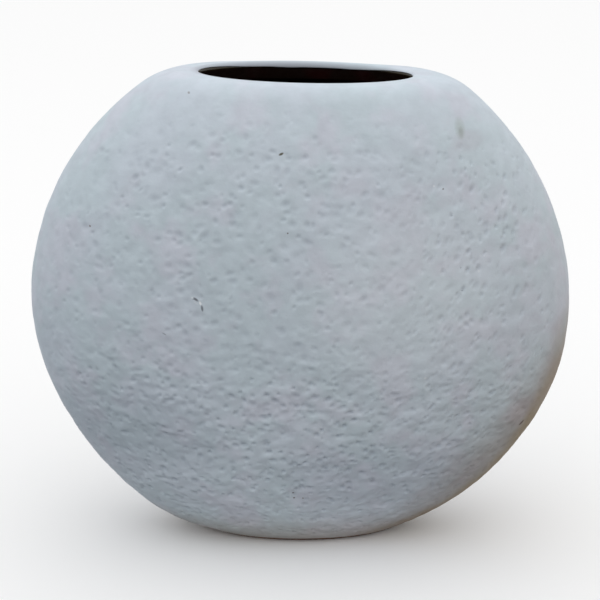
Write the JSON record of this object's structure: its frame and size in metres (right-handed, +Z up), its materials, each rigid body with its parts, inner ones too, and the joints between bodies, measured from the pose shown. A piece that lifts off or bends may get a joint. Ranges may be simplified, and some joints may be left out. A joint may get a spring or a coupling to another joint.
{
  "type": "pillow vase",
  "caption": "Flat round stoneware vase on a small oval foot, with a narrow oval mouth, a matt white pitted coat outside and a dark glaze inside.",
  "frame": {"origin": "on the floor, under the middle of the belly", "axes": "+Z up; +X across the broad face, to the right as the pictured face is seen; +Y through the thin side, away from the pictured face"},
  "size_m": [0.22, 0.1, 0.1969],
  "materials": {
    "foot_clay": "unglazed, wiped smooth",
    "wall_clay": "unglazed",
    "coil_clay": "unglazed, finger pressed",
    "dark_glaze": "gloss",
    "white_coat": "matt, softly pitted"
  },
  "bodies": {
    "root": {"base_slab": "foot_clay", "back_half": "wall_clay", "front_half": "wall_clay", "base_coil": "coil_clay", "left_seam_coil": "coil_clay", "right_seam_coil": "coil_clay", "mouth_collar": "wall_clay", "inner_lining": "dark_glaze", "outer_coat": "white_coat"}
  },
  "joints": []
}
